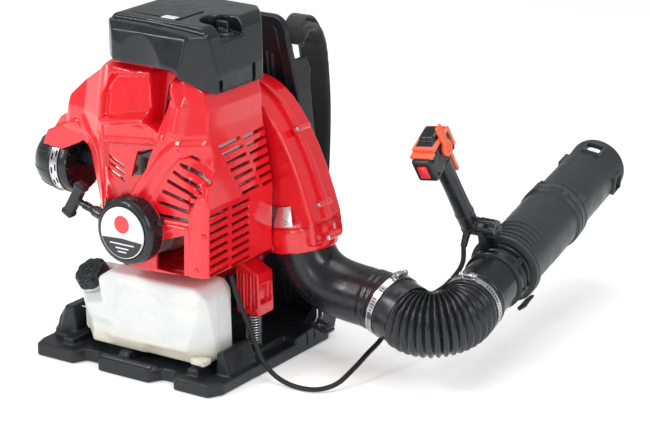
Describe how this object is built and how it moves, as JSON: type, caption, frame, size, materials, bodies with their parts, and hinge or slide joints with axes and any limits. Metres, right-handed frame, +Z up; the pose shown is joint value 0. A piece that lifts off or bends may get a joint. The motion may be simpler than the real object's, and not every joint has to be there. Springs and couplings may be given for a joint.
{
  "type": "backpack leaf blower",
  "caption": "Petrol backpack leaf blower: engine and fan on a sprung back frame, harness, flexible hose, sliding tube with window-cut nozzle pipe, tilting throttle handle.",
  "frame": {"origin": "centre of the base tray's underside", "axes": "+X towards the wearer's right, +Y towards the wearer's back, +Z up; the engine faces -Y"},
  "size_m": [0.704, 0.8207, 0.5499],
  "materials": {
    "red_shell": "glossy",
    "black_shell": "fine texture",
    "frame_black": "moulded texture",
    "tube_grey": "fine moulded texture",
    "hose_black": "satin",
    "tank_white": "translucent blow-moulded",
    "alloy": "die-cast",
    "steel": "plated",
    "signal_orange": "semi-gloss",
    "badge_white": "glossy",
    "fuel_yellow": "satin",
    "webbing": "braided",
    "soft_pad": "padded",
    "cord_black": "satin"
  },
  "bodies": {
    "chassis": {"air_cleaner_case": "black_shell", "air_cleaner_cover": "black_shell", "back_frame": "frame_black", "back_pad": "soft_pad", "base_tray": "frame_black", "cable_lower": "cord_black", "carburettor": "alloy", "crankcase": "alloy", "cylinder": "alloy", "fan_housing_front": "red_shell", "fan_housing_rear": "red_shell", "filter_band": "steel", "fuel_line": "fuel_yellow", "fuel_tank": "tank_white", "mount_bracket_left": "red_shell", "mount_bracket_right": "red_shell", "muffler": "steel", "plug_cap": "black_shell", "shoulder_strap_left": "soft_pad", "shoulder_strap_right": "soft_pad", "shroud": "red_shell", "side_louvre": "red_shell", "spark_plug": "steel", "spring_left": "steel", "spring_right": "steel", "starter_badge": "badge_white", "starter_case": "black_shell", "strap_buckle": "black_shell", "top_cover": "black_shell"},
    "crank": {"crankshaft": "steel", "flywheel": "alloy", "impeller": "alloy"},
    "pulley": {"starter_pulley": "tube_grey"},
    "pull": {"starter_grip": "black_shell", "starter_rope": "webbing"},
    "cap": {"fuel_cap": "black_shell"},
    "choke": {"choke_lever": "black_shell"},
    "primer": {"primer_bulb": "fuel_yellow"},
    "knob": {"cover_knob": "black_shell"},
    "outlet_elbow": {"elbow": "hose_black", "band_elbow": "steel", "hose_lower": "hose_black", "cable_hose": "cord_black"},
    "hose_middle": {"hose_mid_ring": "hose_black"},
    "wand": {"hose_upper": "hose_black", "swivel_pipe": "hose_black", "band_tube": "steel", "cable_tube": "cord_black"},
    "sliding_tube": {"tube_one": "tube_grey"},
    "latch": {"tube_latch": "black_shell"},
    "nozzle": {"end_tube": "tube_grey"},
    "handle": {"grip_tube": "black_shell", "control_head": "black_shell", "cable_handle": "cord_black"},
    "clamp_knob": {"handle_knob": "black_shell"},
    "cruise": {"cruise_lever": "signal_orange"},
    "throttle": {"trigger": "signal_orange"},
    "stop": {"stop_switch": "signal_orange"}
  },
  "joints": [
    {"name": "crank_spin", "type": "hinge", "parent": "chassis", "child": "crank", "pos_m": [0.026, 0, 0.24], "axis": [0, 1, 0], "continuous": true},
    {"name": "starter_pull", "type": "slide", "parent": "chassis", "child": "pull", "axis": [-0.9536, 0, 0.3011], "range_m": [0, 0.6], "deforming": ["starter_rope"]},
    {"name": "pulley_spin", "type": "hinge", "parent": "chassis", "child": "pulley", "pos_m": [0.026, -0.18, 0.24], "axis": [0, 1, 0], "range_deg": [0, 1080]},
    {"name": "cap_turn", "type": "hinge", "parent": "chassis", "child": "cap", "pos_m": [-0.09155, -0.11767, 0.12646], "axis": [-0.1502, -0.5507, 0.8211], "range_deg": [0, 180]},
    {"name": "choke_turn", "type": "hinge", "parent": "chassis", "child": "choke", "pos_m": [-0.09, -0.062, 0.3215], "axis": [1, 0, 0], "range_deg": [0, 60]},
    {"name": "primer_press", "type": "slide", "parent": "chassis", "child": "primer", "axis": [0, 1, 0], "range_m": [0, 0.004], "stiffness_N_per_m": 1200, "springref_m": -0.001},
    {"name": "cover_knob_turn", "type": "hinge", "parent": "chassis", "child": "knob", "pos_m": [0.114, -0.06, 0.523], "axis": [0, 0, 1], "range_deg": [0, 90]},
    {"name": "elbow_turn", "type": "hinge", "parent": "chassis", "child": "outlet_elbow", "pos_m": [0.1783, 0.055, 0.178], "axis": [-0.1736, 0, 0.9848], "range_deg": [-35, 22], "deforming": ["cable_lower"]},
    {"name": "hose_swing", "type": "hinge", "parent": "outlet_elbow", "child": "hose_middle", "pos_m": [0.39309, 0.05135, 0.09931], "axis": [0, 0, 1], "range_deg": [-30, 25], "deforming": ["hose_lower", "cable_hose"]},
    {"name": "hose_lift", "type": "hinge", "parent": "hose_middle", "child": "wand", "pos_m": [0.43099, 0.08254, 0.10503], "axis": [0.9958, 0.0914, 0], "range_deg": [-6, 30], "deforming": ["hose_upper", "cable_tube", "cable_hose"]},
    {"name": "tube_slide", "type": "slide", "parent": "wand", "child": "sliding_tube", "axis": [-0.0901, 0.9813, 0.1702], "range_m": [0, 0.05]},
    {"name": "latch_lift", "type": "hinge", "parent": "sliding_tube", "child": "latch", "pos_m": [0.45955, 0.25888, 0.08792], "axis": [0.7845, -0.0353, 0.6191], "range_deg": [0, 40]},
    {"name": "nozzle_twist", "type": "hinge", "parent": "sliding_tube", "child": "nozzle", "pos_m": [0.40546, 0.4322, 0.16635], "axis": [-0.0901, 0.9813, 0.1702], "range_deg": [0, 25]},
    {"name": "handle_tilt", "type": "hinge", "parent": "wand", "child": "handle", "pos_m": [0.398, 0.2125, 0.204], "axis": [1, 0, 0], "range_deg": [-25, 25], "deforming": ["cable_handle"]},
    {"name": "clamp_knob_turn", "type": "hinge", "parent": "wand", "child": "clamp_knob", "pos_m": [0.4098, 0.2125, 0.204], "axis": [1, 0, 0], "range_deg": [-180, 180]},
    {"name": "cruise_turn", "type": "hinge", "parent": "handle", "child": "cruise", "pos_m": [0.37725, 0.13451, 0.34585], "axis": [0.99, 0, 0.1409], "range_deg": [-20, 25]},
    {"name": "trigger_squeeze", "type": "hinge", "parent": "handle", "child": "throttle", "pos_m": [0.36117, 0.16541, 0.32827], "axis": [-0.99, 0, -0.1409], "range_deg": [0, 8], "stiffness_Nm_per_rad": 1.2, "springref_deg": -2.86},
    {"name": "stop_rock", "type": "hinge", "parent": "handle", "child": "stop", "pos_m": [0.36304, 0.09871, 0.31512], "axis": [0.99, 0, 0.1409], "range_deg": [-7, 7]}
  ],
  "couplings": [
    {"joint": "pulley_spin", "follows": "starter_pull", "rad_per_m": 31.25}
  ]
}
